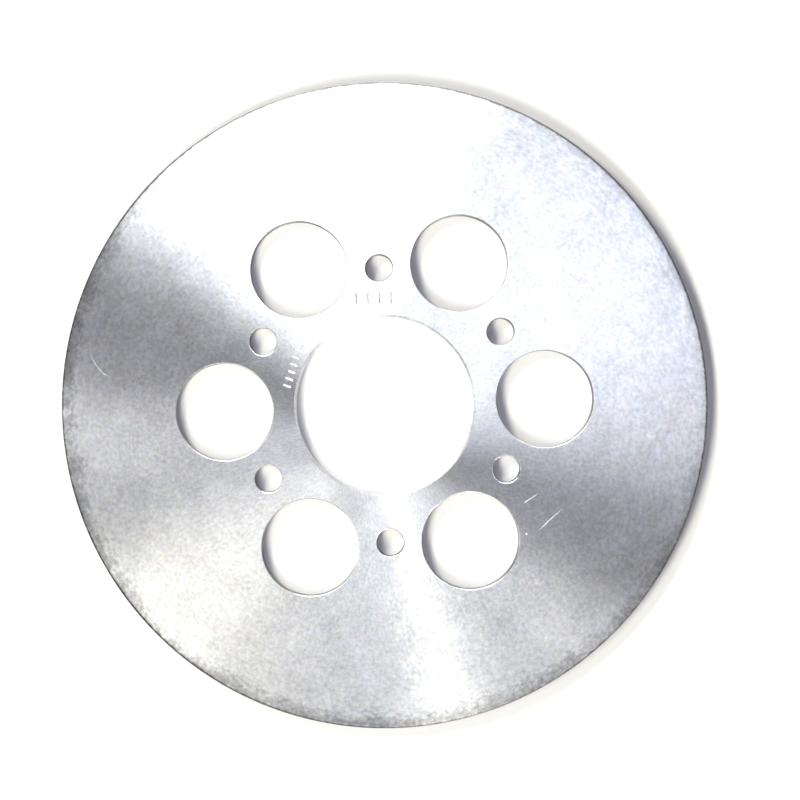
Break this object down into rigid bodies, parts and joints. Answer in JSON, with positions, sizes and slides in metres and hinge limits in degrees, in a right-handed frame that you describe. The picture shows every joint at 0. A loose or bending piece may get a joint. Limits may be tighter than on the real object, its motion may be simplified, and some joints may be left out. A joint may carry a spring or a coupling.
{
  "type": "brake disc rotor",
  "caption": "Flat one-piece motorcycle brake disc in ground steel, with a hub bore, a ring of bolt holes and a ring of large round lightening windows.",
  "frame": {"origin": "centre of the hub bore on the back face, which lies on Z = 0", "axes": "+Z along the spin axis from the back face to the marked front face; +Y through one bolt hole"},
  "size_m": [0.254, 0.254, 0.0063],
  "materials": {
    "ground_steel": "satin, concentrically ground faces"
  },
  "bodies": {
    "root": {"rotor_disc": "ground_steel"}
  },
  "joints": []
}
